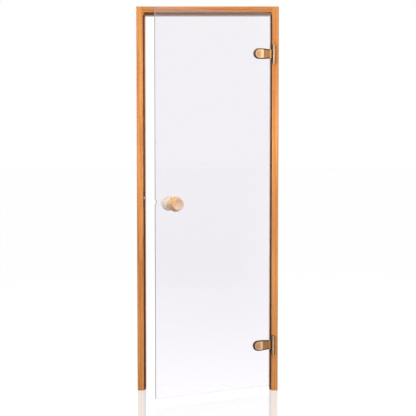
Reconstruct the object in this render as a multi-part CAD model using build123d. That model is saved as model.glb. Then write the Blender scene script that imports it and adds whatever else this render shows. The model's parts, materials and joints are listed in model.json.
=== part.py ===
"""Glass door for a sauna cabin, hung in its own softwood frame.

The origin is on the outer side face of the hinge jamb, at floor level and at half the frame's
depth. +X points out of that face, away from the doorway, +Y goes into the cabin behind the door,
and +Z is up. The leaf hangs on the right as seen from the room, and opens towards the room.
It is drawn closed first, where its sizes are easy to see, and then turned open on its hinges.
All lengths are in millimetres, and angles are in degrees.
"""

import math
import os

from build123d import *

# Wooden frame: two jambs that run from the floor to the top, and a head between them.
frame_width = 695.0
frame_height = 1890.0
frame_depth = 92.0
jamb_thickness = 40.0
head_thickness = 40.0
jamb_rebate_step = 8.0
head_rebate_step = 12.0
rebate_depth = 21.0
frame_edge_round = 2.0

# Seal strips that lie on the step of the rebate, each with a stem pressed into a groove.
seal_thickness = 4.0
seal_edge_gap = 0.4
seal_stem_width = 2.6
seal_stem_depth = 5.0
seal_groove_clearance = 0.1
seal_edge_round = 1.4
seal_bead_width = 4.4
seal_bead_rise = 1.2

# Toughened glass leaf.
glass_thickness = 8.0
glass_setback = 4.0
hinge_side_gap = 5.5
latch_side_gap = 7.5
floor_gap = 25.0
head_gap = 5.0
glass_edge_chamfer = 0.8
open_angle = 27.5

# Hinges: three knuckles on one pin, a bent leaf on the jamb and a clamp on the glass.
pivot_in_front = 9.5
pivot_from_rebate = 8.5
hinge_from_glass_bottom = 204.0
hinge_from_glass_top = 200.0
knuckle_diameter = 16.0
outer_knuckle_length = 24.5
centre_knuckle_length = 41.0
knuckle_washer_thickness = 0.9
knuckle_running_gap = 0.1
pin_diameter = 8.0
pin_fit = 0.05
pin_head_diameter = 11.0
pin_head_height = 2.0
leaf_plate_thickness = 3.0
leaf_side_leg_depth = 16.5
leaf_stem_width = 9.0
leaf_screw_spacing = 62.0
leaf_screw_hole_diameter = 4.5
leaf_screw_head_diameter = 8.8
leaf_corner_round = 3.0
recess_clearance = 0.1

# Clamp of each hinge, measured from the pivot along the leaf.
clamp_reach = 108.0
clamp_height = 51.0
clamp_raise = 2.5
arm_height = 44.0
arm_shoulder_start = 9.5
arm_shoulder_end = 17.0
arm_back_start = 13.5
arm_bearing_start = 25.0
arm_neck_back = 2.0
arm_neck_front = 3.0
arm_bend_start = 20.0
arm_bend_end = 13.0
arm_bead_diameter = 3.0
arm_edge_bevel = 2.4
cap_start = 56.5
cap_slope_length = 15.0
cap_slope_lip = 0.4
cap_thickness = 5.0
cap_edge_round = 3.8
cap_step = 2.5
clamp_base_thickness = 5.0
gasket_thickness = 1.0
gasket_inset = 1.5
back_plate_start = 27.0
back_plate_inset = 4.0
back_plate_thickness = 4.0
back_plate_bevel = 1.2
clamp_bolt_reach = 81.0
clamp_bolt_spacing = 26.0
clamp_bolt_diameter = 6.0
clamp_bolt_head_diameter = 12.0
clamp_bolt_head_height = 2.4
bolt_clearance = 0.1
glass_hole_diameter = 12.0

# Turned wooden knobs on one through bolt.
knob_height = 945.0
knob_from_free_edge = 88.0
knob_base_diameter = 44.0
knob_waist_diameter = 33.0
knob_waist_reach = 13.0
knob_rim_diameter = 72.0
knob_rim_reach = 35.0
knob_rim_width = 12.0
knob_rim_rise = 2.2
knob_neck_round = 3.0
knob_face_diameter = 56.0
knob_face_edge_round = 2.0
knob_length = 62.0
knob_dish_diameter = 46.0
knob_dish_depth = 4.0
knob_bolt_diameter = 6.0
knob_bolt_grip = 30.0
knob_glass_hole_diameter = 10.0
knob_washer_diameter = 32.0
knob_washer_thickness = 1.5

# Ball catch in the latch jamb, and the notch that faces it in the glass edge.
catch_height = 955.0
catch_length = 77.0
catch_width = 15.0
catch_screw_spacing = 60.0
catch_screw_hole_diameter = 3.4
catch_screw_head_diameter = 6.6
catch_let_in = 1.6
catch_crown = 2.0
catch_ball_diameter = 10.0
catch_ball_reach = 6.5
catch_cup_diameter = 12.4
catch_cup_wall = 1.0
catch_cup_depth = 9.0
catch_ball_clearance = 0.15
notch_height = 22.0
notch_depth = 5.0

# Fixing holes through each jamb, in the rebate's side wall.
fixing_hole_diameter = 8.0
fixing_hole_from_front = 10.5
fixing_hole_count = 4
fixing_hole_lowest = 110.0
fixing_hole_from_top = 160.0

# Places that follow from the sizes above.
front_y = -frame_depth / 2
step_y = front_y + rebate_depth
rear_y = frame_depth / 2
hinge_wall_x = -(jamb_thickness - jamb_rebate_step)
hinge_step_x = -jamb_thickness
latch_wall_x = -frame_width + jamb_thickness - jamb_rebate_step
latch_step_x = -frame_width + jamb_thickness
head_front_z = frame_height - head_thickness + head_rebate_step
head_step_z = frame_height - head_thickness

glass_front_y = front_y + glass_setback
glass_back_y = glass_front_y + glass_thickness
glass_hinge_x = hinge_wall_x - hinge_side_gap
glass_free_x = latch_wall_x + latch_side_gap
glass_bottom_z = floor_gap
glass_top_z = head_front_z - head_gap

pivot_x = hinge_wall_x + pivot_from_rebate
pivot_y = front_y - pivot_in_front
pivot_axis = Axis((pivot_x, pivot_y, 0), (0, 0, 1))
knuckle_gap = knuckle_washer_thickness + knuckle_running_gap
barrel_length = 2 * outer_knuckle_length + centre_knuckle_length + 2 * knuckle_gap
hinge_heights = {
    "lower": glass_bottom_z + hinge_from_glass_bottom,
    "upper": glass_top_z - hinge_from_glass_top,
}
knob_x = glass_free_x + knob_from_free_edge
gasket_front_y = glass_front_y - gasket_thickness
clamp_front_y = gasket_front_y - clamp_base_thickness
cap_front_y = clamp_front_y - cap_thickness
arm_front_y = cap_front_y + cap_step
catch_y = (glass_front_y + glass_back_y) / 2


def block(x0, x1, y0, y1, z0, z1):
    """A box between two corners, given in any order."""
    size = (abs(x1 - x0), abs(y1 - y0), abs(z1 - z0))
    return Pos((x0 + x1) / 2, (y0 + y1) / 2, (z0 + z1) / 2) * Box(*size)


def rod_y(x, z, diameter, y0, y1):
    """A round rod or hole along Y."""
    centre = Pos(x, (y0 + y1) / 2, z) * Rot(90, 0, 0)
    return centre * Cylinder(diameter / 2, abs(y1 - y0))


def rod_x(y, z, diameter, x0, x1):
    """A round rod or hole along X."""
    centre = Pos((x0 + x1) / 2, y, z) * Rot(0, 90, 0)
    return centre * Cylinder(diameter / 2, abs(x1 - x0))


def rod_z(x, y, diameter, z0, z1):
    """A round rod or hole along Z."""
    return Pos(x, y, (z0 + z1) / 2) * Cylinder(diameter / 2, abs(z1 - z0))


def swung(shape):
    """The leaf's shapes are drawn closed and turned open about the hinge pins."""
    return shape.rotate(pivot_axis, open_angle)


def mirrored_jamb(shape):
    """The latch jamb is the hinge jamb's section on the other side of the doorway."""
    return mirror(shape, Plane.YZ.offset(-frame_width / 2))


def jamb_profile():
    """Stepped section of a jamb in plan, with its two front corners rounded."""
    corners = [
        (0, front_y),
        (0, rear_y),
        (hinge_step_x, rear_y),
        (hinge_step_x, step_y),
        (hinge_wall_x, step_y),
        (hinge_wall_x, front_y),
    ]
    section = make_face(Polyline(*corners, close=True))
    round_corners = section.vertices().filter_by(lambda v: v.Y < front_y + 1)
    return fillet(round_corners, frame_edge_round)


def seal_groove_cut(length):
    """Groove that takes a seal's stem, standing on the floor at the middle of the step."""
    width = seal_stem_width + 2 * seal_groove_clearance
    middle = (hinge_wall_x + hinge_step_x) / 2
    depth = seal_stem_depth + seal_groove_clearance
    return block(middle - width / 2, middle + width / 2, step_y, step_y + depth, 0, length)


def plain_jamb():
    """A jamb with its seal groove and fixing holes, on the hinge side."""
    jamb = extrude(jamb_profile(), frame_height, dir=(0, 0, 1))
    jamb -= seal_groove_cut(head_step_z)
    hole_y = front_y + fixing_hole_from_front
    spacing = (frame_height - fixing_hole_from_top - fixing_hole_lowest) / (fixing_hole_count - 1)
    for number in range(fixing_hole_count):
        hole_z = fixing_hole_lowest + number * spacing
        jamb -= rod_x(hole_y, hole_z, fixing_hole_diameter, 1, hinge_wall_x - 1)
    return jamb


def hinge_leaf_recess(middle):
    """Pocket in the rebate's side wall that takes the hinge's side leg, flush with the wood."""
    half = barrel_length / 2 + recess_clearance
    back = front_y + leaf_side_leg_depth + recess_clearance
    outer_x = hinge_wall_x + leaf_plate_thickness + recess_clearance
    return block(hinge_wall_x - 1, outer_x, front_y - 1, back, middle - half, middle + half)


def hinge_jamb():
    jamb = plain_jamb()
    for middle in hinge_heights.values():
        jamb -= hinge_leaf_recess(middle)
    return jamb


def latch_jamb():
    jamb = mirrored_jamb(plain_jamb())
    jamb -= catch_plate_body(recess_clearance)
    jamb -= rod_x(
        catch_y,
        catch_height,
        catch_cup_diameter + 2 * recess_clearance,
        latch_wall_x,
        latch_wall_x - catch_let_in - catch_cup_depth - recess_clearance,
    )
    return jamb


def head():
    """The head sits between the jambs, with its ends coped over their steps."""
    front_part = block(hinge_wall_x, latch_wall_x, front_y, step_y, head_front_z, frame_height)
    rear_part = block(hinge_step_x, latch_step_x, step_y, rear_y, head_step_z, frame_height)
    board = front_part + rear_part
    width = seal_stem_width + 2 * seal_groove_clearance
    middle = (head_front_z + head_step_z) / 2
    depth = seal_stem_depth + seal_groove_clearance
    board -= block(
        hinge_step_x, latch_step_x, step_y, step_y + depth, middle - width / 2, middle + width / 2
    )
    front_edges = board.edges().filter_by(Axis.X).filter_by(lambda e: e.center().Y < front_y + 1)
    return fillet(front_edges, frame_edge_round)


def seal_strip(width, length):
    """A seal's section, extruded up from the floor: a beaded lip with a stem in its back."""
    flat = seal_thickness - seal_bead_rise
    lip = Pos(0, seal_bead_rise / 2) * RectangleRounded(width, flat, seal_edge_round * 0.9)
    bead = RectangleRounded(seal_bead_width, seal_thickness, seal_edge_round)
    lip += bead
    stem = Pos(0, (seal_thickness + seal_stem_depth) / 2 - seal_edge_round / 2) * Rectangle(
        seal_stem_width, seal_stem_depth + seal_edge_round
    )
    return extrude(Pos(0, -seal_thickness / 2) * (lip + stem), length)


def jamb_seals():
    """One strip on the step of each jamb, from the floor up to the head's step."""
    width = jamb_rebate_step - 2 * seal_edge_gap
    strip = seal_strip(width, head_step_z - seal_edge_gap)
    middle = (hinge_wall_x + hinge_step_x) / 2
    hinge_seal = Pos(middle, step_y, 0) * strip
    return hinge_seal, mirrored_jamb(hinge_seal)


def head_seal():
    """The strip on the head's step, lying between the two front walls of the rebate."""
    width = head_rebate_step - 2 * seal_edge_gap
    length = abs(latch_step_x - hinge_step_x)
    strip = seal_strip(width, length)
    laid = Rot(0, 90, 0) * strip
    return Pos(latch_step_x, step_y, (head_front_z + head_step_z) / 2) * laid


def glass_leaf():
    """The pane, with holes for the clamps and the knob, and a notch facing the catch."""
    pane = block(
        glass_free_x, glass_hinge_x, glass_front_y, glass_back_y, glass_bottom_z, glass_top_z
    )
    pane = chamfer(pane.edges().filter_by(Axis.Z), glass_edge_chamfer)
    y0 = glass_front_y - 1
    y1 = glass_back_y + 1
    for middle in hinge_heights.values():
        for x, z in clamp_bolt_places(middle):
            pane -= rod_y(x, z, glass_hole_diameter, y0, y1)
    pane -= rod_y(knob_x, knob_height, knob_glass_hole_diameter, y0, y1)
    half = notch_height / 2
    pane -= block(
        glass_free_x - 1, glass_free_x + notch_depth, y0, y1, catch_height - half, catch_height + half
    )
    return swung(pane)


def clamp_bolt_places(middle):
    """Both bolts of a clamp, one above the other, round the clamp's own middle."""
    x = pivot_x - clamp_bolt_reach
    raised = middle + clamp_raise
    half = clamp_bolt_spacing / 2
    return [(x, raised - half), (x, raised + half)]


def countersunk_x(y, z, hole, head, face_x, far_x):
    """Screw hole along X through a plate, sunk for a flat head on the face at face_x."""
    way = math.copysign(1, far_x - face_x)
    depth = (head - hole) / 2
    sink = Pos(face_x + way * depth / 2, y, z) * Rot(0, 90 * way, 0)
    return rod_x(y, z, hole, face_x - way, far_x + way) + sink * Cone(head / 2, hole / 2, depth)


def hinge_frame_leaf(middle):
    """Side leg in the rebate, two lugs on the jamb's face, and the two outer knuckles."""
    half = barrel_length / 2
    leaf = block(
        hinge_wall_x,
        hinge_wall_x + leaf_plate_thickness,
        front_y,
        front_y + leaf_side_leg_depth,
        middle - half,
        middle + half,
    )
    back_corners = leaf.edges().filter_by(Axis.X).sort_by(Axis.Y)[-2:]
    leaf = fillet(back_corners, leaf_corner_round)
    for side in (-1, 1):
        leaf -= countersunk_x(
            front_y + leaf_side_leg_depth / 2,
            middle + side * leaf_screw_spacing / 2,
            leaf_screw_hole_diameter,
            leaf_screw_head_diameter,
            hinge_wall_x,
            hinge_wall_x + leaf_plate_thickness,
        )
    for low in (middle - half, middle + half - outer_knuckle_length):
        high = low + outer_knuckle_length
        lug_x = pivot_x + leaf_stem_width / 2
        leaf += block(hinge_wall_x, lug_x, front_y - leaf_plate_thickness, front_y, low, high)
        leaf += block(pivot_x - leaf_stem_width / 2, lug_x, pivot_y, front_y, low, high)
        leaf += rod_z(pivot_x, pivot_y, knuckle_diameter, low, high)
        leaf -= rod_z(pivot_x, pivot_y, pin_diameter + 2 * pin_fit, low - 1, high + 1)
    return leaf


def hinge_pin(middle):
    """The pin, with a flat head that rests on the top knuckle."""
    half = barrel_length / 2
    pin = rod_z(pivot_x, pivot_y, pin_diameter, middle - half, middle + half)
    head_top = middle + half + pin_head_height
    return pin + rod_z(pivot_x, pivot_y, pin_head_diameter, middle + half, head_top)


def hinge_washers(middle):
    """A plastic ring under each end of the centre knuckle, lying on the knuckle below it."""
    half = barrel_length / 2
    bore = pin_diameter + 2 * pin_fit
    rings = []
    lower_z = middle - half + outer_knuckle_length
    upper_z = middle + half - outer_knuckle_length - knuckle_washer_thickness
    for z in (lower_z, upper_z):
        ring = rod_z(pivot_x, pivot_y, knuckle_diameter - 1, z, z + knuckle_washer_thickness)
        rings.append(ring - rod_z(pivot_x, pivot_y, bore, z - 1, z + knuckle_washer_thickness + 1))
    return Compound(rings)


def arm_plan():
    """Plan of the arm: flat along the glass, then bent forward to a neck behind the knuckle."""
    points = [
        (pivot_x, pivot_y - arm_neck_front),
        (pivot_x - arm_bend_end, pivot_y - arm_neck_front),
        (pivot_x - arm_bend_start, arm_front_y),
        (pivot_x - cap_start, arm_front_y),
        (pivot_x - cap_start, clamp_front_y),
        (pivot_x - clamp_reach, clamp_front_y),
        (pivot_x - clamp_reach, gasket_front_y),
        (pivot_x - arm_bearing_start, gasket_front_y),
        (pivot_x - arm_back_start, pivot_y + arm_neck_back),
        (pivot_x, pivot_y + arm_neck_back),
    ]
    return make_face(Polyline(*points, close=True))


def arm_front_outline(middle):
    """Front view of the arm: narrow at the knuckle, shoulders, then widening to the tongue."""
    raised = middle + clamp_raise
    wide = clamp_height / 2
    tip_x = pivot_x - clamp_reach + wide
    upper, lower = [
        [
            (pivot_x, middle + side * centre_knuckle_length / 2),
            (pivot_x - arm_shoulder_start, middle + side * centre_knuckle_length / 2),
            (pivot_x - arm_shoulder_end, raised + side * arm_height / 2),
            (pivot_x - cap_start, raised + side * wide),
            (tip_x, raised + side * wide),
        ]
        for side in (1, -1)
    ]
    edges = [
        Polyline(*upper),
        ThreePointArc(upper[-1], (tip_x - wide, raised), lower[-1]),
        Polyline(*lower),
        Line(lower[0], upper[0]),
    ]
    return make_face(Curve() + edges)


def upright(face, y0, y1):
    """A face drawn in front view, given its place and thickness between two Y values."""
    return Plane.XZ.offset(-y1) * extrude(face, y1 - y0)


def clamp_arm(middle):
    """Centre knuckle and arm in one casting, with a bead at the bend and holes for the bolts."""
    low = middle - clamp_height / 2
    height = clamp_height + clamp_raise
    plan = extrude(Pos(0, 0, low) * arm_plan(), height, dir=(0, 0, 1))
    front_view = upright(arm_front_outline(middle), pivot_y - knuckle_diameter, glass_front_y)
    body = plan & front_view
    arm_face = body.faces().filter_by(Axis.Y).sort_by(lambda f: abs(f.center().Y - arm_front_y))[0]
    long_edges = arm_face.edges().filter_by(lambda e: abs(e.tangent_at(0.5).Z) < 0.5)
    body = chamfer(long_edges, arm_edge_bevel)
    raised = middle + clamp_raise
    bead_half = arm_height / 2 - arm_edge_bevel
    bead_x = pivot_x - arm_bend_start
    body += rod_z(bead_x, arm_front_y, arm_bead_diameter, raised - bead_half, raised + bead_half)
    z0 = middle - centre_knuckle_length / 2
    z1 = middle + centre_knuckle_length / 2
    body += rod_z(pivot_x, pivot_y, knuckle_diameter, z0, z1)
    body -= rod_z(pivot_x, pivot_y, pin_diameter + 2 * pin_fit, low - 1, low + height + 1)
    for x, z in clamp_bolt_places(middle):
        diameter = clamp_bolt_diameter + 2 * bolt_clearance
        body -= rod_y(x, z, diameter, clamp_front_y - 1, glass_front_y)
    return swung(body)


def tongue_face(middle, start, inset):
    """The half-round tongue in front view, from a straight edge at the given reach."""
    radius = clamp_height / 2 - inset
    end_x = pivot_x - clamp_reach + clamp_height / 2
    start_x = pivot_x - start
    raised = middle + clamp_raise
    low = raised - radius
    high = raised + radius
    edges = [
        Line((start_x, low), (end_x, low)),
        ThreePointArc((end_x, low), (end_x - radius, raised), (end_x, high)),
        Line((end_x, high), (start_x, high)),
        Line((start_x, high), (start_x, low)),
    ]
    return make_face(Curve() + edges)


def clamp_cap(middle):
    """Cover over the bolts, rounded round its rim and sloped down to the arm."""
    cap = upright(tongue_face(middle, cap_start, 0), cap_front_y, clamp_front_y)
    rim = cap.faces().sort_by(Axis.Y)[0].edges().filter_by(lambda e: abs(e.tangent_at(0.5).Z) < 0.9)
    cap = fillet(rim, cap_edge_round)
    slope = [
        (pivot_x - cap_start + 1, cap_front_y - 1),
        (pivot_x - cap_start + 1, arm_front_y - cap_slope_lip),
        (pivot_x - cap_start, arm_front_y - cap_slope_lip),
        (pivot_x - cap_start - cap_slope_length, cap_front_y),
        (pivot_x - cap_start - cap_slope_length, cap_front_y - 1),
    ]
    low = middle + clamp_raise - clamp_height / 2 - 1
    wedge = extrude(
        Pos(0, 0, low) * make_face(Polyline(*slope, close=True)), clamp_height + 2, dir=(0, 0, 1)
    )
    return swung(cap - wedge)


def gasket(middle, start, inset, y0):
    """Thin pad between metal and glass, with holes round the bolts."""
    pad = upright(tongue_face(middle, start, inset + gasket_inset), y0, y0 + gasket_thickness)
    for x, z in clamp_bolt_places(middle):
        pad -= rod_y(x, z, glass_hole_diameter, y0 - 1, y0 + gasket_thickness + 1)
    return swung(pad)


def back_plate(middle):
    """Plate on the cabin side of the glass, which the bolts pull against the clamp."""
    y0 = glass_back_y + gasket_thickness
    y1 = y0 + back_plate_thickness
    plate = upright(tongue_face(middle, back_plate_start, back_plate_inset), y0, y1)
    rim = plate.faces().sort_by(Axis.Y)[-1].edges()
    plate = chamfer(rim, back_plate_bevel)
    for x, z in clamp_bolt_places(middle):
        plate -= rod_y(x, z, clamp_bolt_diameter + 2 * bolt_clearance, y0 - 1, y1 + 1)
    return swung(plate)


def clamp_bolts(middle):
    """Two bolts from the cabin side through the plate, the glass and the clamp's base."""
    plate_y = glass_back_y + gasket_thickness + back_plate_thickness
    bolts = []
    for x, z in clamp_bolt_places(middle):
        shank = rod_y(x, z, clamp_bolt_diameter, clamp_front_y, plate_y)
        bolt_head = rod_y(
            x, z, clamp_bolt_head_diameter, plate_y, plate_y + clamp_bolt_head_height
        )
        bolts.append(swung(shank + bolt_head))
    return Compound(bolts)


def knob_profile():
    """Half section of a knob: radius against distance from its base, up to a flat face."""
    widest = (knob_rim_diameter / 2, knob_rim_reach)
    rim_back = (widest[0] - knob_rim_rise, knob_rim_reach - knob_rim_width / 2)
    rim_front = (widest[0] - knob_rim_rise, knob_rim_reach + knob_rim_width / 2)
    base = (knob_base_diameter / 2, 0)
    waist = (knob_waist_diameter / 2 + 1, knob_waist_reach)
    face_edge = (knob_face_diameter / 2, knob_length)
    flare = ThreePointArc(base, waist, rim_back)
    rim = ThreePointArc(rim_back, widest, rim_front)
    rest = Polyline(rim_front, face_edge, (0, knob_length), (0, 0), base)
    section = make_face(Curve() + [flare, rim, rest])
    back_corner = section.vertices().sort_by_distance((*rim_back, 0))[0]
    section = fillet(back_corner, knob_neck_round)
    front_corner = section.vertices().sort_by_distance((*face_edge, 0))[0]
    return fillet(front_corner, knob_face_edge_round)


def knob(outside):
    """A turned knob standing on its washer, on the room side or on the cabin side."""
    turned = revolve(knob_profile(), Axis.Y)
    half_dish = knob_dish_diameter / 2
    dish_radius = (half_dish**2 + knob_dish_depth**2) / (2 * knob_dish_depth)
    turned -= Pos(0, knob_length - knob_dish_depth + dish_radius, 0) * Sphere(dish_radius)
    hole = knob_bolt_grip + bolt_clearance
    turned -= rod_y(0, 0, knob_bolt_diameter + 2 * bolt_clearance, -1, hole)
    if outside:
        placed = Pos(knob_x, glass_front_y - knob_washer_thickness, knob_height) * Rot(0, 0, 180)
    else:
        placed = Pos(knob_x, glass_back_y + knob_washer_thickness, knob_height)
    return swung(placed * turned)


def knob_washers():
    """A thin pad under each knob."""
    rings = []
    bore = knob_bolt_diameter + 2 * bolt_clearance
    for y0 in (glass_front_y - knob_washer_thickness, glass_back_y):
        y1 = y0 + knob_washer_thickness
        ring = rod_y(knob_x, knob_height, knob_washer_diameter, y0, y1)
        rings.append(swung(ring - rod_y(knob_x, knob_height, bore, y0 - 1, y1 + 1)))
    return Compound(rings)


def knob_bolt():
    """Threaded rod that joins both knobs through the glass."""
    y0 = glass_front_y - knob_washer_thickness - knob_bolt_grip
    y1 = glass_back_y + knob_washer_thickness + knob_bolt_grip
    return swung(rod_y(knob_x, knob_height, knob_bolt_diameter, y0, y1))


def catch_plate_body(clearance):
    """Crowned plate of the catch, let into the rebate's side wall."""
    half = catch_length / 2 + clearance
    back_x = latch_wall_x - catch_let_in - clearance
    low = (latch_wall_x, catch_height - half)
    high = (latch_wall_x, catch_height + half)
    edges = [
        Line((back_x, catch_height - half), low),
        ThreePointArc(low, (latch_wall_x + catch_crown, catch_height), high),
        Line(high, (back_x, catch_height + half)),
        Line((back_x, catch_height + half), (back_x, catch_height - half)),
    ]
    half_width = catch_width / 2 + clearance
    return upright(make_face(Curve() + edges), catch_y - half_width, catch_y + half_width)


def catch_plate():
    """The plate with the cup behind it, bored for the ball."""
    cup_end = latch_wall_x - catch_let_in - catch_cup_depth
    body = catch_plate_body(0)
    body += rod_x(catch_y, catch_height, catch_cup_diameter, cup_end, latch_wall_x)
    bore = catch_ball_diameter + 2 * catch_ball_clearance
    front = latch_wall_x + catch_crown + 1
    body -= rod_x(catch_y, catch_height, bore, cup_end + catch_cup_wall, front)
    for side in (-1, 1):
        body -= countersunk_x(
            catch_y,
            catch_height + side * catch_screw_spacing / 2,
            catch_screw_hole_diameter,
            catch_screw_head_diameter,
            latch_wall_x + catch_crown / 2,
            latch_wall_x - catch_let_in,
        )
    return body


def catch_ball():
    """Ball that stands out of the cup, on the spring's plunger."""
    radius = catch_ball_diameter / 2
    ball_x = latch_wall_x + catch_ball_reach - radius
    plunger_end = latch_wall_x - catch_let_in - catch_cup_depth + catch_cup_wall
    ball = Pos(ball_x, catch_y, catch_height) * Sphere(radius)
    return ball + rod_x(catch_y, catch_height, catch_ball_diameter, plunger_end, ball_x)


os.makedirs("parts", exist_ok=True)

nodes = {
    "hinge_jamb": hinge_jamb(),
    "latch_jamb": latch_jamb(),
    "head": head(),
    "glass_leaf": glass_leaf(),
    "outer_knob": knob(True),
    "inner_knob": knob(False),
    "knob_washers": knob_washers(),
    "knob_bolt": knob_bolt(),
    "catch_plate": catch_plate(),
    "catch_ball": catch_ball(),
    "head_seal": head_seal(),
}
nodes["hinge_jamb_seal"], nodes["latch_jamb_seal"] = jamb_seals()
for place, middle in hinge_heights.items():
    nodes[place + "_hinge_frame_leaf"] = hinge_frame_leaf(middle)
    nodes[place + "_hinge_pin"] = hinge_pin(middle)
    nodes[place + "_hinge_washers"] = hinge_washers(middle)
    nodes[place + "_clamp_arm"] = clamp_arm(middle)
    nodes[place + "_clamp_cap"] = clamp_cap(middle)
    nodes[place + "_clamp_gasket"] = gasket(middle, arm_bearing_start, 0, gasket_front_y)
    nodes[place + "_back_gasket"] = gasket(
        middle, back_plate_start, back_plate_inset, glass_back_y
    )
    nodes[place + "_back_plate"] = back_plate(middle)
    nodes[place + "_clamp_bolts"] = clamp_bolts(middle)

for name, shape in nodes.items():
    export_step(shape, f"parts/{name}.step")
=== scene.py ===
import json
import math

import bpy
import numpy as np
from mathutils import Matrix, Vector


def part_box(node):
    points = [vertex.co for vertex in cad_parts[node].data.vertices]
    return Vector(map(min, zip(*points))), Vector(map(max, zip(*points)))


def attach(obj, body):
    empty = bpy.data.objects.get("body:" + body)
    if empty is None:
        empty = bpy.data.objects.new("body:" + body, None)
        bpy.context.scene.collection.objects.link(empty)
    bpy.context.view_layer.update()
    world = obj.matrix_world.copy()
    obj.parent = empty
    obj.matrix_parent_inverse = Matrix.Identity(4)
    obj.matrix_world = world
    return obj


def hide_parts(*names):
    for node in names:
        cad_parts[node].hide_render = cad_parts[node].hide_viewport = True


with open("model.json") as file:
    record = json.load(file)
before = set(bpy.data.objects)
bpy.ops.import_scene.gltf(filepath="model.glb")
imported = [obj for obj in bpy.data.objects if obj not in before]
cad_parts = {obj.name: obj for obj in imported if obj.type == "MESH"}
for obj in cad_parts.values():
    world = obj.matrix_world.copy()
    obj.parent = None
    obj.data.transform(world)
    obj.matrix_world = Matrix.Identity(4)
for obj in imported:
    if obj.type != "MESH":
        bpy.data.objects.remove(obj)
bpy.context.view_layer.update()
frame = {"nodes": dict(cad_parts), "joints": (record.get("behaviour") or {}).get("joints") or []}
nodes = frame["nodes"]

# The viewpoint. The camera stands at chest height in the room, square to the doorway and on its
# centre line, and looks slightly down, with a little shift, so that the whole door fills the
# square picture and its uprights stay nearly parallel.
jamb_low, jamb_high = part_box("hinge_jamb")
latch_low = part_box("latch_jamb")[0]
doorway_middle = (latch_low.x + jamb_high.x) / 2
frame_front = jamb_low.y
eye_distance = 5.595
eye_height = 1.308
eye_side_step = 0.002
look_down = math.radians(3.265)
picture_width = 416
focal_length_in_pixels = 1141.5
downward_shift = 0.04
sensor_width = 36.0

camera_data = bpy.data.cameras.new("viewpoint")
camera_data.sensor_width = sensor_width
camera_data.lens = sensor_width * focal_length_in_pixels / picture_width
camera_data.shift_y = -downward_shift
camera = bpy.data.objects.new("viewpoint", camera_data)
camera.location = (doorway_middle + eye_side_step, frame_front - eye_distance, eye_height)
camera.rotation_euler = (math.pi / 2 - look_down, 0, 0)
bpy.context.scene.collection.objects.link(camera)
bpy.context.scene.camera = camera
bpy.context.scene.view_settings.view_transform = "Standard"


# The studio. A white surround shows behind the door and in the glass and metal, while its light on
# the door is softer, so that colours render about as they are written.
def linear(code):
    """Linear red, green, blue and alpha of an sRGB hex colour such as #D6894A."""
    parts = np.array([int(code[i : i + 2], 16) for i in (1, 3, 5)]) / 255
    low = parts / 12.92
    high = ((parts + 0.055) / 1.055) ** 2.4
    return tuple(np.where(parts <= 0.04045, low, high)) + (1.0,)


def add(tree, kind, settings=None, **links):
    """Adds a node. settings are attributes, or inputs where the name is an input's.

    links map an input's name, with spaces as underscores, to a socket or a plain value.
    """
    node = tree.nodes.new(kind)
    for name, value in (settings or {}).items():
        setattr(node, name, value)
    for name, value in links.items():
        key = int(name[1:]) if name[0] == "i" and name[1:].isdigit() else name.replace("_", " ")
        if isinstance(value, bpy.types.NodeSocket):
            tree.links.new(value, node.inputs[key])
        else:
            node.inputs[key].default_value = value
    return node


def is_looked_at(tree):
    """1 for rays from the camera, off metal or through glass, and 0 for light on the object.

    The second result is 1 only for rays off metal and other polished faces. A sharp ray through
    glass counts as glossy too, so those are taken out.
    """
    path = add(tree, "ShaderNodeLightPath")
    off_or_through = add(
        tree, "ShaderNodeMath", {"operation": "MAXIMUM"},
        i0=path.outputs["Is Glossy Ray"], i1=path.outputs["Is Transmission Ray"],
    )
    by_any = add(
        tree, "ShaderNodeMath", {"operation": "MAXIMUM"},
        i0=path.outputs["Is Camera Ray"], i1=off_or_through.outputs[0],
    )
    off_metal = add(
        tree, "ShaderNodeMath", {"operation": "GREATER_THAN"},
        i0=path.outputs["Is Glossy Ray"], i1=path.outputs["Is Transmission Ray"],
    )
    return by_any.outputs[0], off_metal.outputs[0]


ambient_strength = 0.77
world = bpy.data.worlds.new("studio")
world.use_nodes = True
bpy.context.scene.world = world
tree = world.node_tree
tree.nodes.clear()
looked_at, in_metal = is_looked_at(tree)
# In reflections the ceiling is brighter than the walls, which gives metal its modelling.
way = add(tree, "ShaderNodeTexCoord")
parts = add(tree, "ShaderNodeSeparateXYZ", Vector=way.outputs["Generated"])
ceiling = add(
    tree, "ShaderNodeMapRange", {"interpolation_type": "SMOOTHSTEP"},
    Value=parts.outputs["Z"], From_Min=0.14, From_Max=0.38, To_Min=1.0, To_Max=2.4,
)
# A lit window stands to the right of the camera, out of the leaf's own mirror direction.
window_way = np.array([0.945, -0.305, 0.12])
towards_window = add(
    tree, "ShaderNodeVectorMath", {"operation": "DOT_PRODUCT"},
    i0=way.outputs["Generated"], i1=tuple(window_way / np.linalg.norm(window_way)),
)
window = add(
    tree, "ShaderNodeMapRange", {"interpolation_type": "SMOOTHSTEP"},
    Value=towards_window.outputs["Value"], From_Min=0.962, From_Max=0.99, To_Max=2.0,
)
mirrored = add(
    tree, "ShaderNodeMath", {"operation": "ADD"}, i0=ceiling.outputs[0], i1=window.outputs[0]
)
plain = add(
    tree, "ShaderNodeMapRange", Value=looked_at, To_Min=ambient_strength, To_Max=1.0
)
strength = add(
    tree, "ShaderNodeMix", {"data_type": "FLOAT"},
    Factor=in_metal, i2=plain.outputs[0], i3=mirrored.outputs[0],
)
white = add(tree, "ShaderNodeBackground", Color=(1, 1, 1, 1), Strength=strength.outputs[0])
add(tree, "ShaderNodeOutputWorld", Surface=white.outputs[0])


def new_material(name):
    """A node material of that name, its tree, and the shader that the tree starts with."""
    made = bpy.data.materials.new(name)
    made.use_nodes = True
    return made, made.node_tree, made.node_tree.nodes["Principled BSDF"]


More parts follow.
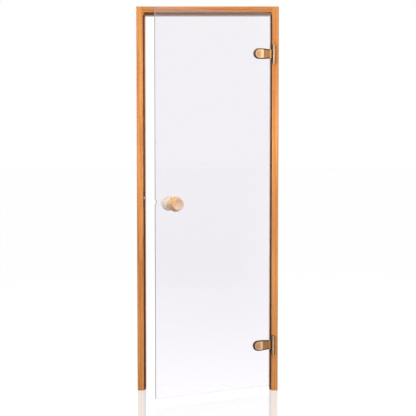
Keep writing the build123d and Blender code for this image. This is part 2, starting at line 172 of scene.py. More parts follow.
def softbox(name, place, target, width, height, power, mirrored=False):
    """A rectangular lamp at a place, turned so that its face looks at the target.

    Lengths are in metres and power is in watts. mirrored lamps also show as a highlight on round
    and polished surfaces.
    """
    lamp = bpy.data.lights.new(name, "AREA")
    lamp.shape = "RECTANGLE"
    lamp.size, lamp.size_y, lamp.energy = width, height, power
    holder = bpy.data.objects.new(name, lamp)
    holder.location = place
    way = np.array(target) - np.array(place)
    holder.rotation_euler = (
        math.pi / 2 + math.atan2(way[2], math.hypot(way[0], way[1])),
        0,
        math.atan2(way[1], way[0]) - math.pi / 2,
    )
    holder.visible_camera = holder.visible_transmission = False
    holder.visible_glossy = mirrored
    bpy.context.scene.collection.objects.link(holder)


chest = (doorway_middle, frame_front, 1.25)
near_chest = (doorway_middle, frame_front, 1.42)
softbox("key_softbox", (doorway_middle + 2.7, frame_front - 2.9, 0.8), chest, 2.6, 2.6, 53)
softbox("front_fill", (doorway_middle + 0.06, frame_front - 0.75, 1.42), near_chest, 0.3, 0.2, 2.9)
softbox("left_softbox", (doorway_middle - 2.2, frame_front - 1.9, 1.5), chest, 0.8, 0.8, 20, True)
softbox("cabin_fill", (doorway_middle - 2.0, frame_front + 3.0, 2.0), chest, 2.0, 2.0, 50)

floor_mesh = bpy.data.meshes.new("studio_floor")
reach = 30.0
corners = [(-reach, -reach, 0), (reach, -reach, 0), (reach, reach, 0), (-reach, reach, 0)]
floor_mesh.from_pydata(corners, [], [(0, 1, 2, 3)])
floor = bpy.data.objects.new("studio_floor", floor_mesh)
bpy.context.scene.collection.objects.link(floor)
polish_index = 1.62
material, tree, floor_shader = new_material("polished_white_floor")
floor_shader.inputs["Base Color"].default_value = linear("#6E6E70")
floor_shader.inputs["Roughness"].default_value = 0.06
floor_shader.inputs["IOR"].default_value = polish_index
looked_at, in_metal = is_looked_at(tree)
# What the paint lacks of the white surround is made up where it is looked at. It is less at a low
# angle, where the polish mirrors the surround instead. It is least in metal, which mirrors a darker
# floor and so keeps its modelling.
polish = add(tree, "ShaderNodeFresnel", IOR=polish_index)
paint = add(tree, "ShaderNodeMath", {"operation": "SUBTRACT"}, i0=1.0, i1=polish.outputs[0])
shown = add(tree, "ShaderNodeMath", {"operation": "MULTIPLY"}, i0=looked_at, i1=paint.outputs[0])
glow_seen, glow_in_metal = 0.86, 0.4
amount = add(
    tree, "ShaderNodeMapRange", Value=in_metal, To_Min=glow_seen, To_Max=glow_in_metal
)
whitening = add(
    tree, "ShaderNodeMath", {"operation": "MULTIPLY"}, i0=shown.outputs[0], i1=amount.outputs[0]
)
glow = add(tree, "ShaderNodeEmission", Color=(1, 1, 1, 1), Strength=whitening.outputs[0])
both = add(tree, "ShaderNodeAddShader", i0=floor_shader.outputs[0], i1=glow.outputs[0])
tree.links.new(both.outputs[0], tree.nodes["Material Output"].inputs["Surface"])
floor_mesh.materials.append(material)


# The timber frame: two jambs and a head of planed alder, rebated, oiled and warm orange brown.
# The grain runs along each board, so the jambs and the head have their own direction.
# Two faces that meet at less than this angle, in degrees, are one rounded surface, and points
# closer than this distance, in metres, are one point.
crease_angle = 28.0
weld_distance = 0.000002
smoothing = bpy.data.node_groups.new("soft_rounding", "GeometryNodeTree")
smoothing.interface.new_socket("Geometry", in_out="INPUT", socket_type="NodeSocketGeometry")
smoothing.interface.new_socket("Geometry", in_out="OUTPUT", socket_type="NodeSocketGeometry")
source = add(smoothing, "NodeGroupInput")
joined = add(
    smoothing, "GeometryNodeMergeByDistance", Geometry=source.outputs[0], Distance=weld_distance
)
bend = add(smoothing, "GeometryNodeInputMeshEdgeAngle")
sharp = add(
    smoothing, "FunctionNodeCompare", {"operation": "GREATER_THAN"},
    i0=bend.outputs["Unsigned Angle"], i1=math.radians(crease_angle),
)
creased = add(
    smoothing, "GeometryNodeSetShadeSmooth", {"domain": "EDGE"},
    Geometry=joined.outputs[0], Selection=sharp.outputs[0], Shade_Smooth=False,
)
rounded = add(
    smoothing, "GeometryNodeSetShadeSmooth", {"domain": "FACE"},
    Geometry=creased.outputs[0], Shade_Smooth=True,
)
add(smoothing, "NodeGroupOutput", i0=rounded.outputs[0])


def dress(node_name, finish):
    """Gives a CAD node one material in all its slots, and shades its curved faces as round."""
    for slot in nodes[node_name].material_slots:
        slot.material = finish
    nodes[node_name].modifiers.new("soft_rounding", "NODES").node_group = smoothing


def planed_alder(name, along, shift, light, dark):
    """Planed, oiled alder: faint growth rings, fine pores along the grain, and a satin oil film.

    It gives long, broken streaks along each board, with a soft sheen where the light grazes.
    along is the grain's axis, 0 for X and 2 for Z, and shift moves each board in the log, in mm.
    """
    made, tree, shader = new_material(name)
    shader.inputs["Specular IOR Level"].default_value = 0.42
    where = add(tree, "ShaderNodeTexCoord")
    turn = (0, 0, 0) if along == 2 else (0, math.pi / 2, 0)
    in_mm = add(
        tree, "ShaderNodeMapping", {"vector_type": "POINT"},
        Vector=where.outputs["Object"], Location=shift, Rotation=turn, Scale=(1000, 1000, 1000),
    )
    # Slow bend of the rings along the board, over about 300 mm.
    bend = add(
        tree, "ShaderNodeMapping", {"vector_type": "POINT"},
        Vector=in_mm.outputs[0], Scale=(0.012, 0.012, 0.0035),
    )
    wander = add(
        tree, "ShaderNodeTexNoise", Vector=bend.outputs[0], Scale=1.0, Detail=3.0, Roughness=0.5
    )
    pushed = add(
        tree, "ShaderNodeVectorMath", {"operation": "MULTIPLY_ADD"},
        i0=wander.outputs["Color"], i1=(30, 30, 0), i2=in_mm.outputs[0],
    )
    flat = add(
        tree, "ShaderNodeVectorMath", {"operation": "MULTIPLY"}, i0=pushed.outputs[0], i1=(1, 1, 0)
    )
    from_pith = add(tree, "ShaderNodeVectorMath", {"operation": "LENGTH"}, i0=flat.outputs[0])
    # Growth rings, drawn a little coarser than real alder's so that they show.
    ring_spacing = 5.0
    phase = add(
        tree, "ShaderNodeMath", {"operation": "MULTIPLY"},
        i0=from_pith.outputs["Value"], i1=2 * math.pi / ring_spacing,
    )
    ring = add(tree, "ShaderNodeMath", {"operation": "SINE"}, i0=phase.outputs[0])
    # Pores and fibres, 0.5 mm wide and about 30 mm long.
    fibre_scale = add(
        tree, "ShaderNodeMapping", {"vector_type": "POINT"},
        Vector=in_mm.outputs[0], Scale=(1.6, 1.6, 0.035),
    )
    fibre = add(
        tree, "ShaderNodeTexNoise", Vector=fibre_scale.outputs[0], Scale=1.0, Detail=5.0,
        Roughness=0.65,
    )
    # Broad streaks, 12 mm wide and half a metre long.
    streak_scale = add(
        tree, "ShaderNodeMapping", {"vector_type": "POINT"},
        Vector=in_mm.outputs[0], Scale=(0.09, 0.09, 0.0022),
    )
    streak = add(
        tree, "ShaderNodeTexNoise", Vector=streak_scale.outputs[0], Scale=1.0, Detail=2.0,
        Roughness=0.5,
    )
    # The tone is a tenth rings, half fibres and three quarters streaks, narrowed to full contrast.
    ring_part = add(tree, "ShaderNodeMath", {"operation": "MULTIPLY"}, i0=ring.outputs[0], i1=0.10)
    fibre_part = add(
        tree, "ShaderNodeMath", {"operation": "MULTIPLY_ADD"},
        i0=fibre.outputs["Fac"], i1=0.55, i2=ring_part.outputs[0],
    )
    tone = add(
        tree, "ShaderNodeMath", {"operation": "MULTIPLY_ADD", "use_clamp": True},
        i0=streak.outputs["Fac"], i1=0.75, i2=fibre_part.outputs[0],
    )
    narrowed = add(
        tree, "ShaderNodeMapRange", Value=tone.outputs[0], From_Min=0.42, From_Max=0.84
    )
    colour = add(
        tree, "ShaderNodeMix", {"data_type": "RGBA"},
        Factor=narrowed.outputs[0], i6=linear(light), i7=linear(dark),
    )
    tree.links.new(colour.outputs[2], shader.inputs["Base Color"])
    rough = add(
        tree, "ShaderNodeMapRange", Value=fibre.outputs["Fac"], To_Min=0.38, To_Max=0.56
    )
    tree.links.new(rough.outputs[0], shader.inputs["Roughness"])
    relief = add(
        tree, "ShaderNodeBump", Strength=0.35, Distance=0.0004, Height=fibre.outputs["Fac"]
    )
    tree.links.new(relief.outputs[0], shader.inputs["Normal"])
    return made


# Warm orange brown: sapwood gives the light streaks and heartwood the dark ones.
alder_light, alder_dark = "#EFA961", "#BB6A2E"
hinge_jamb_alder = planed_alder("alder_hinge_jamb", 2, (64, 38, 0), alder_light, alder_dark)
latch_jamb_alder = planed_alder("alder_latch_jamb", 2, (742, -52, 900), alder_light, alder_dark)
# The head's tones are darker than the jambs', as painted shade for the top of the frame.
head_alder = planed_alder("alder_head_painted_shade", 0, (1900, 70, 300), "#DE9850", "#AC602A")
dress("hinge_jamb", hinge_jamb_alder)
dress("latch_jamb", latch_jamb_alder)
dress("head", head_alder)


# The seal strips: soft silicone, matt and brown grey, pressed into a groove in the rebate's step.
# They keep the steam in and quieten the glass when the leaf closes.
def moulded_silicone(name, code, bloom):
    """Extruded silicone: a matt skin with a fine mottle, and a pale bloom of talc in patches."""
    made, tree, shader = new_material(name)
    shader.inputs["Roughness"].default_value = 0.62
    shader.inputs["IOR"].default_value = 1.41
    where = add(tree, "ShaderNodeTexCoord")
    # Patches of bloom about 40 mm long and a skin texture of about 1 mm.
    patches = add(
        tree, "ShaderNodeTexNoise", Vector=where.outputs["Object"], Scale=25.0, Detail=3.0
    )
    skin = add(
        tree, "ShaderNodeTexNoise", Vector=where.outputs["Object"], Scale=1000.0, Detail=2.0
    )
    colour = add(
        tree, "ShaderNodeMix", {"data_type": "RGBA"},
        Factor=patches.outputs["Fac"], i6=linear(code), i7=linear(bloom),
    )
    tree.links.new(colour.outputs[2], shader.inputs["Base Color"])
    relief = add(tree, "ShaderNodeBump", Strength=0.2, Distance=0.0002, Height=skin.outputs["Fac"])
    tree.links.new(relief.outputs[0], shader.inputs["Normal"])
    return made


# Dark brown grey, so that it draws a soft dark line inside the frame.
seal_silicone = moulded_silicone("brown_silicone_seal", "#4C3A2E", "#65503F")
for name in ("hinge_jamb_seal", "latch_jamb_seal", "head_seal"):
    dress(name, seal_silicone)


# The leaf: 8 mm clear toughened float glass. Its faces are bright and mirror the white room as a
# pale veil, and its edges are ground and fine-matt, so they show as a grey line.
open_angle = math.radians(27.5)
leaf_front = np.array([math.sin(open_angle), -math.cos(open_angle), 0.0])


def facing(tree, direction, low, high):
    """How squarely a surface faces a direction or its opposite, eased from 0 at low to 1 at high.

    low and high are cosines of the angle between the surface's normal and the direction.
    """
    where = add(tree, "ShaderNodeTexCoord")
    along = add(
        tree, "ShaderNodeVectorMath", {"operation": "DOT_PRODUCT"},
        i0=where.outputs["Normal"], i1=tuple(direction),
    )
    either = add(tree, "ShaderNodeMath", {"operation": "ABSOLUTE"}, i0=along.outputs["Value"])
    eased = add(
        tree, "ShaderNodeMapRange", {"interpolation_type": "SMOOTHSTEP"},
        Value=either.outputs[0], From_Min=low, From_Max=high,
    )
    return eased.outputs[0]


def clear_float_glass(name, body, ground):
    """Float glass: sharp, clear faces, and ground edges that are pale grey and fine-matt.

    So the pane is read by its outline, its veil and what it mirrors. body and ground are the tints.
    """
    made, tree, shader = new_material(name)
    shader.inputs["IOR"].default_value = 1.68
    face = facing(tree, leaf_front, 0.6, 0.9)
    clear = add(tree, "ShaderNodeMapRange", Value=face, To_Min=0.55, To_Max=1.0)
    tree.links.new(clear.outputs[0], shader.inputs["Transmission Weight"])
    colour = add(
        tree, "ShaderNodeMix", {"data_type": "RGBA"},
        Factor=face, i6=linear(ground), i7=linear(body),
    )
    tree.links.new(colour.outputs[2], shader.inputs["Base Color"])
    rough = add(tree, "ShaderNodeMapRange", Value=face, To_Min=0.45, To_Max=0.0)
    tree.links.new(rough.outputs[0], shader.inputs["Roughness"])
    return made


dress("glass_leaf", clear_float_glass("clear_float_glass", "#F1EFF4", "#A6A9AC"))
nodes["glass_leaf"].visible_shadow = False


# The hinges: cast bronze arms, caps and leaves with an antique finish, lacquered. Where the metal
# faces the room or the leaf's front, on its faces and the crowns of the knuckles, it is painted
# bright, as burnish and painted highlight, and where it turns away it is dark, as patina and
# painted shade.
hinge_joint = frame["joints"][0]["pos_m"]
leaf_way = (-math.cos(open_angle), -math.sin(open_angle), 0.0)
cap_boxes = [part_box(f"{place}_clamp_cap") for place in ("lower", "upper")]
clamp_levels = [(low.z + high.z) / 2 for low, high in cap_boxes]
# The clamp's outline in mm: a half-round tongue, and an arm that narrows to its bend.
clamp_reach, clamp_half, bend_half = 108.0, 25.5, 22.0
bend_reach, cap_reach = 20.0, 56.5
# On it, in mm: where the band of painted shade along the edge ends, and where the painted
# highlights end, measured inwards from the edge and out from the pivot.
shaded_rim_end, painted_highlight_by_edge, painted_highlight_by_step = (4.0, 7.0), (8.0, 14.0), (62.0, 76.0)


def inside_outline(tree):
    """How far a point lies inside the clamp's outline in front view, and its reach, both in mm.

    The first is the half height at the point's reach, less the length of its offset from the
    tongue's spine. The second is the distance from the pivot along the leaf.
    """
    where = add(tree, "ShaderNodeTexCoord")
    in_mm = add(
        tree, "ShaderNodeMapping", {"vector_type": "POINT"},
        Vector=where.outputs["Object"], Scale=(1000, 1000, 1000),
        Location=tuple(-1000 * part for part in hinge_joint),
    )
    reach = add(
        tree, "ShaderNodeVectorMath", {"operation": "DOT_PRODUCT"},
        i0=in_mm.outputs[0], i1=leaf_way,
    )
    past_centre = add(
        tree, "ShaderNodeMath", {"operation": "SUBTRACT"},
        i0=reach.outputs["Value"], i1=clamp_reach - clamp_half,
    )
    in_round = add(
        tree, "ShaderNodeMath", {"operation": "MAXIMUM"}, i0=past_centre.outputs[0], i1=0.0
    )
    height = add(tree, "ShaderNodeSeparateXYZ", Vector=in_mm.outputs[0])
    between = 500 * (clamp_levels[0] + clamp_levels[1])
    span = 500 * (clamp_levels[1] - clamp_levels[0])
    from_between = add(
        tree, "ShaderNodeMath", {"operation": "SUBTRACT"}, i0=height.outputs["Z"], i1=between
    )
    folded = add(tree, "ShaderNodeMath", {"operation": "ABSOLUTE"}, i0=from_between.outputs[0])
    off_level = add(
        tree, "ShaderNodeMath", {"operation": "SUBTRACT"}, i0=folded.outputs[0], i1=span
    )
    offset = add(tree, "ShaderNodeCombineXYZ", X=in_round.outputs[0], Y=off_level.outputs[0])
    length = add(tree, "ShaderNodeVectorMath", {"operation": "LENGTH"}, i0=offset.outputs[0])
    half = add(
        tree, "ShaderNodeMapRange",
        Value=reach.outputs["Value"], From_Min=bend_reach, From_Max=cap_reach,
        To_Min=bend_half, To_Max=clamp_half,
    )
    inside = add(
        tree, "ShaderNodeMath", {"operation": "SUBTRACT"},
        i0=half.outputs[0], i1=length.outputs["Value"],
    )
    return inside.outputs[0], reach.outputs["Value"]


def antique_bronze_with_painted_light(name, fronts, light, dark, patina_and_shade, crown, rings=(), clamp=False, painted_shine=None):
    """Cast bronze, bright where it faces one way and dark at the sides: patina and painted light.

    fronts are the directions in which a surface is painted bright, as burnish and painted
    highlight, light and dark the two tones there, and the next tone that of the sides, as patina
    and painted shade. crown gives the cosines at which the bright paint starts and is complete.
    rings are zones round the pivot with a tone of their own: the two radii in mm, the tone, and
    the direction and crown of their bright paint. On the clamp a band of painted shade follows the
    outline, and the last tone is that of the painted highlights on its cap.
    """
    made, tree, shader = new_material(name)
    shader.inputs["Metallic"].default_value = 1.0
    where = add(tree, "ShaderNodeTexCoord")
    # Cloudy tarnish, in patches of about 12 mm.
    cloud = add(tree, "ShaderNodeTexNoise", Vector=where.outputs["Object"], Scale=80.0, Detail=4.0)
    face = add(
        tree, "ShaderNodeMix", {"data_type": "RGBA"},
        Factor=cloud.outputs["Fac"], i6=linear(light), i7=linear(dark),
    )
    # Faces turned to a front are painted bright, as burnish and painted highlight. The rest keeps
    # the side tone, as patina and painted shade.
    burnish_and_sheen = facing(tree, fronts[0], *crown)
    for front in fronts[1:]:
        other = facing(tree, front, *crown)
        either = add(tree, "ShaderNodeMath", {"operation": "MAXIMUM"}, i0=burnish_and_sheen, i1=other)
        burnish_and_sheen = either.outputs[0]
    if clamp:
        # A band about 5 mm wide along the edge is painted dark, as painted shade where the rounded
        # edge turns from the light, and the zones just inside that band and beside the cap's step
        # are painted bright, as painted highlights.
        inside, reach = inside_outline(tree)
        if painted_shine:
            by_edge = add(
                tree, "ShaderNodeMapRange", {"interpolation_type": "SMOOTHSTEP"},
                Value=inside, From_Min=painted_highlight_by_edge[0], From_Max=painted_highlight_by_edge[1],
                To_Min=1.0, To_Max=0.0,
            )
            by_step = add(
                tree, "ShaderNodeMapRange", {"interpolation_type": "SMOOTHSTEP"},
                Value=reach, From_Min=painted_highlight_by_step[0], From_Max=painted_highlight_by_step[1],
                To_Min=1.0, To_Max=0.0,
            )
            painted_highlight_mask = add(
                tree, "ShaderNodeMath", {"operation": "MAXIMUM"},
                i0=by_edge.outputs[0], i1=by_step.outputs[0],
            )
            face = add(
                tree, "ShaderNodeMix", {"data_type": "RGBA"},
                Factor=painted_highlight_mask.outputs[0], i6=face.outputs[2], i7=linear(painted_shine),
            )
        outside_shaded_rim = add(
            tree, "ShaderNodeMapRange", {"interpolation_type": "SMOOTHSTEP"},
            Value=inside, From_Min=shaded_rim_end[0], From_Max=shaded_rim_end[1],
        )
        both = add(
            tree, "ShaderNodeMath", {"operation": "MINIMUM"}, i0=burnish_and_sheen, i1=outside_shaded_rim.outputs[0]
        )
        burnish_and_sheen = both.outputs[0]
    colour = add(
        tree, "ShaderNodeMix", {"data_type": "RGBA"},
        Factor=burnish_and_sheen, i6=linear(patina_and_shade), i7=face.outputs[2],
    )
    from_pivot = add(
        tree, "ShaderNodeVectorMath", {"operation": "SUBTRACT"},
        i0=where.outputs["Object"], i1=tuple(hinge_joint),
    )
    flat = add(
        tree, "ShaderNodeVectorMath", {"operation": "MULTIPLY"},
        i0=from_pivot.outputs[0], i1=(1000, 1000, 0),
    )
    radius = add(tree, "ShaderNodeVectorMath", {"operation": "LENGTH"}, i0=flat.outputs[0])
    for start, end, tone, front, ring_crown in rings:
        ring = add(
            tree, "ShaderNodeMix", {"data_type": "RGBA"},
            Factor=facing(tree, front, *ring_crown), i6=linear(patina_and_shade), i7=linear(tone),
        )
        past = add(
            tree, "ShaderNodeMath", {"operation": "GREATER_THAN"},
            i0=radius.outputs["Value"], i1=start,
        )
        short = add(
            tree, "ShaderNodeMath", {"operation": "LESS_THAN"}, i0=radius.outputs["Value"], i1=end
        )
        in_ring = add(
            tree, "ShaderNodeMath", {"operation": "MULTIPLY"},
            i0=past.outputs[0], i1=short.outputs[0],
        )
        colour = add(
            tree, "ShaderNodeMix", {"data_type": "RGBA"},
            Factor=in_ring.outputs[0], i6=colour.outputs[2], i7=ring.outputs[2],
        )
    tree.links.new(colour.outputs[2], shader.inputs["Base Color"])
    # Brush lines along the arm, 0.25 mm apart, coarser than real ones so that they show.
    brushed = add(
        tree, "ShaderNodeMapping", {"vector_type": "POINT"},
        Vector=where.outputs["Object"], Scale=(80, 80, 4000),
    )
    lines = add(tree, "ShaderNodeTexNoise", Vector=brushed.outputs[0], Scale=1.0, Detail=3.0)
    rough = add(tree, "ShaderNodeMapRange", Value=lines.outputs["Fac"], To_Min=0.22, To_Max=0.45)
    tree.links.new(rough.outputs[0], shader.inputs["Roughness"])
    relief = add(
        tree, "ShaderNodeBump", Strength=0.15, Distance=0.0001, Height=lines.outputs["Fac"]
    )
    tree.links.new(relief.outputs[0], shader.inputs["Normal"])
    return made


def plain_finish(name, code, metallic, roughness):
    """One colour with fine handling marks in the roughness, which break up its highlights."""
    spread = 0.08
    made, tree, shader = new_material(name)
    shader.inputs["Base Color"].default_value = linear(code)
    shader.inputs["Metallic"].default_value = metallic
    where = add(tree, "ShaderNodeTexCoord")
    marks = add(tree, "ShaderNodeTexNoise", Vector=where.outputs["Object"], Scale=700.0, Detail=3.0)
    rough = add(
        tree, "ShaderNodeMapRange",
        Value=marks.outputs["Fac"], To_Min=roughness - spread, To_Max=roughness + spread,
    )
    tree.links.new(rough.outputs[0], shader.inputs["Roughness"])
    return made


flat_crown, round_crown = (0.93, 0.985), (0.74, 0.94)
room_side = np.array([0.0, -1.0, 0.0])
# The centre knuckle is painted as the outer two are: bright where it faces the room and dark at
# its sides, as burnish and painted highlight, patina and painted shade. The hollow beside it is
# painted dark, as patina and painted shade, and the bead at the bend is painted bright, as a
# painted highlight.
arm_rings = [
    (0.0, 8.2, "#D0AC84", room_side, round_crown),
    (8.2, 16.2, "#3A2412", room_side, flat_crown),
    (16.2, 21.9, "#B9905F", leaf_front, (0.3, 0.6)),
]
# The arm's tones are darker than the cap's, as painted shade on the arm.
arm_bronze = antique_bronze_with_painted_light(
    "antique_bronze_arm_painted_light", [leaf_front], "#A67B50", "#89603A", "#4A2E17", flat_crown, arm_rings, True
)
# On the cap the last tone, #C6A683, is the painted highlight just inside the band of painted shade
# and beside the step.
cap_bronze = antique_bronze_with_painted_light(
    "antique_bronze_cap_painted_light", [leaf_front], "#C09A74", "#A9825A", "#5A3A1E", flat_crown, clamp=True,
    painted_shine="#C6A683",
)
# The knuckles are painted bright where they face the room and dark at their sides, as burnish and
# painted highlight, patina and painted shade.
knuckle_bronze = antique_bronze_with_painted_light(
    "antique_bronze_knuckles_painted_light", [room_side], "#D0AC84", "#C29A6B", "#3A2412", round_crown
)
# Satin stainless steel shows as a cool grey on the cabin side, and the nylon pads as pale edges.
steel = plain_finish("satin_stainless", "#B9B6B1", 1.0, 0.3)
pad_plastic = plain_finish("translucent_pad", "#DAD6CE", 0.0, 0.5)
for place in ("lower", "upper"):
    dress(f"{place}_clamp_arm", arm_bronze)
    dress(f"{place}_clamp_cap", cap_bronze)
    dress(f"{place}_back_plate", cap_bronze)
    dress(f"{place}_hinge_frame_leaf", knuckle_bronze)
    dress(f"{place}_hinge_pin", knuckle_bronze)
    for part in ("hinge_washers", "clamp_gasket", "back_gasket"):
        dress(f"{place}_{part}", pad_plastic)


# The fixings: bronzed wood screws with cross recesses, and stainless bolts with hexagon sockets.
# The recess in a head is too fine for the solids, so each set is a surface of its own.
recess_flank = 0.15  # how far in, in mm, a recess's steep sides reach their full depth


def headed(name, places, out, outline, dent, finish, body):
    """Screws as one mesh: an outline turned about each place's axis, with a recess in its head.

    A point of ring i and angle a is place + r_i (u cos a + v sin a) + (h_i - dent(x, y)) out, where
    u x v = out, x = r_i cos a and y = r_i sin a, and dent is the recess's depth. The outline holds
    the rings' radii and heights in mm, from the head's middle to the shank's end, and places are in
    metres.
    """
    around = 96
    outline = np.array(outline, float)
    out = np.array(out, float)
    u = np.cross((0.0, 0.0, 1.0), out)
    v = np.cross(out, u)
    turn = np.arange(around) * 2 * np.pi / around
    radius, height = outline[1:-1, :1], outline[1:-1, 1:]
    x, y = radius * np.cos(turn), radius * np.sin(turn)
    lowered = height - dent(x, y) * (np.arange(len(radius))[:, None] < np.argmax(radius))
    rings = (x[..., None] * u + y[..., None] * v + lowered[..., None] * out).reshape(-1, 3)
    first = (outline[0, 1] - dent(np.zeros(1), np.zeros(1))[0]) * out
    one = np.vstack([first, rings, outline[-1, 1] * out]) / 1000
    i, j = np.meshgrid(np.arange(len(radius) - 1), np.arange(around), indexing="ij")
    here, after = 1 + i * around + j, 1 + i * around + (j + 1) % around
    quads = np.stack([here, here + around, after + around, after], -1).reshape(-1, 4)
    edge, last = np.arange(around), 1 + (len(radius) - 1) * around
    beside = (edge + 1) % around
    top = np.stack([edge * 0, 1 + edge, 1 + beside], -1)
    foot = np.stack([last + edge, edge * 0 + len(one) - 1, last + beside], -1)
    steps = np.arange(len(places))[:, None, None] * len(one)
    corners = np.concatenate([one + np.array(place) for place in places])
    faces = [*(quads + steps).reshape(-1, 4).tolist(), *(top + steps).reshape(-1, 3).tolist()]
    faces += (foot + steps).reshape(-1, 3).tolist()
    mesh = bpy.data.meshes.new(name)
    mesh.from_pydata(corners.tolist(), [], faces)
    mesh.materials.append(finish)
    piece = bpy.data.objects.new(name, mesh)
    bpy.context.scene.collection.objects.link(piece)
    piece.modifiers.new("soft_rounding", "NODES").node_group = smoothing
    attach(piece, body)
    return piece


def cross_recess(half_width, half_length, depth):
    """Depth in mm of a cross recess whose wings slope up to their ends."""

    def dent(x, y):
        narrow = np.minimum(abs(x), abs(y))
        far = np.maximum(abs(x), abs(y))
        side = np.clip((half_width - narrow) / recess_flank, 0, 1)
        return depth * side * np.clip((half_length - far) / (0.7 * half_length), 0, 1)

    return dent


def hexagon_recess(across_flats, depth):
    """Depth in mm of a hexagon socket."""

    def dent(x, y):
        flats = [abs(x * math.cos(a) + y * math.sin(a)) for a in (0, math.pi / 3, 2 * math.pi / 3)]
        inwards = across_flats / 2 - np.maximum.reduce(flats)
        return depth * np.clip(inwards / recess_flank, 0, 1)

    return dent


def countersunk(head, shank, sink, length):
    """Outline of a countersunk screw, its top 0.1 mm below the face: rings, cone and shank."""
    inner = [(r, -0.1) for r in np.linspace(0, head / 2 - 0.25, 22)]
    cone = [(head / 2 - 0.08, -0.16), (shank / 2, -sink)]
    return inner + cone + [(shank / 2, -length), (0, -length)]


def cheese_head(head, height, shank, length):
    """Outline of a low domed head that stands on its seat, with the shank behind it."""
    dome = [(r, height - 0.45 * (2 * r / head) ** 2) for r in np.linspace(0, head / 2 - 0.5, 26)]
    rim = [(head / 2 - 0.12, height - 0.62), (head / 2, height - 0.95), (head / 2, 0.0)]
    return dome + rim + [(shank / 2, 0.0), (shank / 2, -length), (0, -length)]


# Wood screws through each frame leaf into the jamb, and through the catch plate. Places in metres.
hinge_levels, hinge_screws_apart = (0.229, 1.657), 0.062
hinge_face_x, hinge_screw_y = -0.032, -0.03775
catch_face_x, catch_y, catch_level, catch_screws_apart = -0.6622, -0.038, 0.955, 0.060
hinge_seats = [
    (hinge_face_x, hinge_screw_y, level + side * hinge_screws_apart / 2)
    for level in hinge_levels for side in (-1, 1)
]
catch_seats = [
    (catch_face_x, catch_y, catch_level + side * catch_screws_apart / 2) for side in (-1, 1)
]
bronzed = plain_finish("bronzed_screws", "#8C7350", 1.0, 0.34)
headed(
    "hinge_leaf_screws", hinge_seats, (-1, 0, 0), countersunk(8.8, 4.5, 2.25, 25),
    cross_recess(0.75, 2.9, 2.0), bronzed, "frame",
)
headed(
    "catch_plate_screws", catch_seats, (1, 0, 0), countersunk(6.4, 3.4, 1.6, 20),
    cross_recess(0.55, 2.1, 1.5), bronzed, "frame",
)
# Clamp bolts from the cabin side through the back plate and the glass into the clamp arm.
bolt_x, bolt_seat_y, bolts_apart = -0.1045, -0.029, 0.026
from_pivot_x, from_pivot_y = bolt_x - hinge_joint[0], bolt_seat_y - hinge_joint[1]
bolt_place = (
    hinge_joint[0] + from_pivot_x * math.cos(open_angle) - from_pivot_y * math.sin(open_angle),
    hinge_joint[1] + from_pivot_x * math.sin(open_angle) + from_pivot_y * math.cos(open_angle),
)
for place, level in zip(("lower", "upper"), clamp_levels):
    seats = [(*bolt_place, level + side * bolts_apart / 2) for side in (-1, 1)]
    bolts = headed(
        f"{place}_socket_bolts", seats,
        -leaf_front, cheese_head(12, 2.4, 6, 19), hexagon_recess(4.0, 1.7), steel, "leaf",
    )
    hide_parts(f"{place}_clamp_bolts")


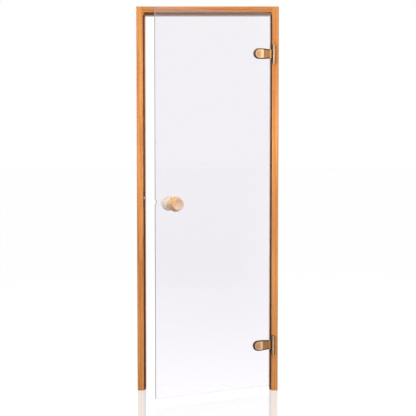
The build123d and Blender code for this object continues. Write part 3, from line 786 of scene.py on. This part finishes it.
# The knobs: turned birch, oiled, one on each side of the glass on a common bolt. The grain lies
# across the axis. The face is pale, and the turned cone is painted a darker orange, as painted
# shade where it turns from the front.
def turned_birch(name, face_light, face_dark, cone_light, cone_dark):
    """Turned, oiled birch: fine upright fibres under a thin oil film with a soft highlight.

    The face has one pair of tones and the turned sides another.
    """
    made, tree, shader = new_material(name)
    shader.inputs["Coat Weight"].default_value = 0.5
    shader.inputs["Coat Roughness"].default_value = 0.3
    where = add(tree, "ShaderNodeTexCoord")
    # Fibres under 2 mm wide, and growth bands about 6 mm wide, both drawn out along Z.
    fibre_scale = add(
        tree, "ShaderNodeMapping", {"vector_type": "POINT"},
        Vector=where.outputs["Object"], Scale=(600, 600, 45),
    )
    fibre = add(
        tree, "ShaderNodeTexNoise", Vector=fibre_scale.outputs[0], Scale=1.0, Detail=5.0,
        Roughness=0.6,
    )
    band_scale = add(
        tree, "ShaderNodeMapping", {"vector_type": "POINT"},
        Vector=where.outputs["Object"], Scale=(160, 160, 12),
    )
    growth = add(
        tree, "ShaderNodeTexNoise", Vector=band_scale.outputs[0], Scale=1.0, Detail=2.0,
        Roughness=0.5,
    )
    both = add(
        tree, "ShaderNodeMath", {"operation": "MULTIPLY_ADD", "use_clamp": True},
        i0=fibre.outputs["Fac"], i1=0.5, i2=growth.outputs["Fac"],
    )
    tone = add(tree, "ShaderNodeMapRange", Value=both.outputs[0], From_Min=0.5, From_Max=1.0)
    face = add(
        tree, "ShaderNodeMix", {"data_type": "RGBA"},
        Factor=tone.outputs[0], i6=linear(face_light), i7=linear(face_dark),
    )
    cone = add(
        tree, "ShaderNodeMix", {"data_type": "RGBA"},
        Factor=tone.outputs[0], i6=linear(cone_light), i7=linear(cone_dark),
    )
    # Where the surface turns from the front, the cone's pair of tones is used. On the near knob it
    # is darker, as painted shade.
    colour = add(
        tree, "ShaderNodeMix", {"data_type": "RGBA"},
        Factor=facing(tree, leaf_front, 0.8, 0.98), i6=cone.outputs[2], i7=face.outputs[2],
    )
    tree.links.new(colour.outputs[2], shader.inputs["Base Color"])
    rough = add(tree, "ShaderNodeMapRange", Value=fibre.outputs["Fac"], To_Min=0.3, To_Max=0.5)
    tree.links.new(rough.outputs[0], shader.inputs["Roughness"])
    relief = add(
        tree, "ShaderNodeBump", Strength=0.25, Distance=0.0003, Height=fibre.outputs["Fac"]
    )
    tree.links.new(relief.outputs[0], shader.inputs["Normal"])
    return made


# The room-side knob is honey coloured. The cabin-side knob is seen through the glass, and its
# near-white tones are painted light, a painted veil of the glass's reflection over it.
dress("outer_knob", turned_birch("turned_birch", "#D6B499", "#CBA486", "#EFB97C", "#CB8443"))
dress("inner_knob", turned_birch("turned_birch_painted_veil", "#FDF3E3", "#F8EAD6", "#FDF3DF", "#F8EAD2"))
dress("knob_washers", pad_plastic)
dress("knob_bolt", steel)


# The catch: a crowned bronze plate let into the latch jamb's rebate and screwed there, with a
# sprung steel ball that faces the notch in the glass. The plate is a paler bronze than the hinges,
# and the ball is polished, so it shows as a bright point on it.
# Its face is painted bright and its edges dark, as burnish and painted highlight, patina and
# painted shade.
catch_bronze = antique_bronze_with_painted_light(
    "pale_bronze_plate_painted_light", [np.array([1.0, 0.0, 0.0])], "#C9B8A2", "#A8947C", "#6E5B48", flat_crown
)
dress("catch_plate", catch_bronze)
dress("catch_ball", plain_finish("polished_ball", "#CFCBC4", 1.0, 0.18))
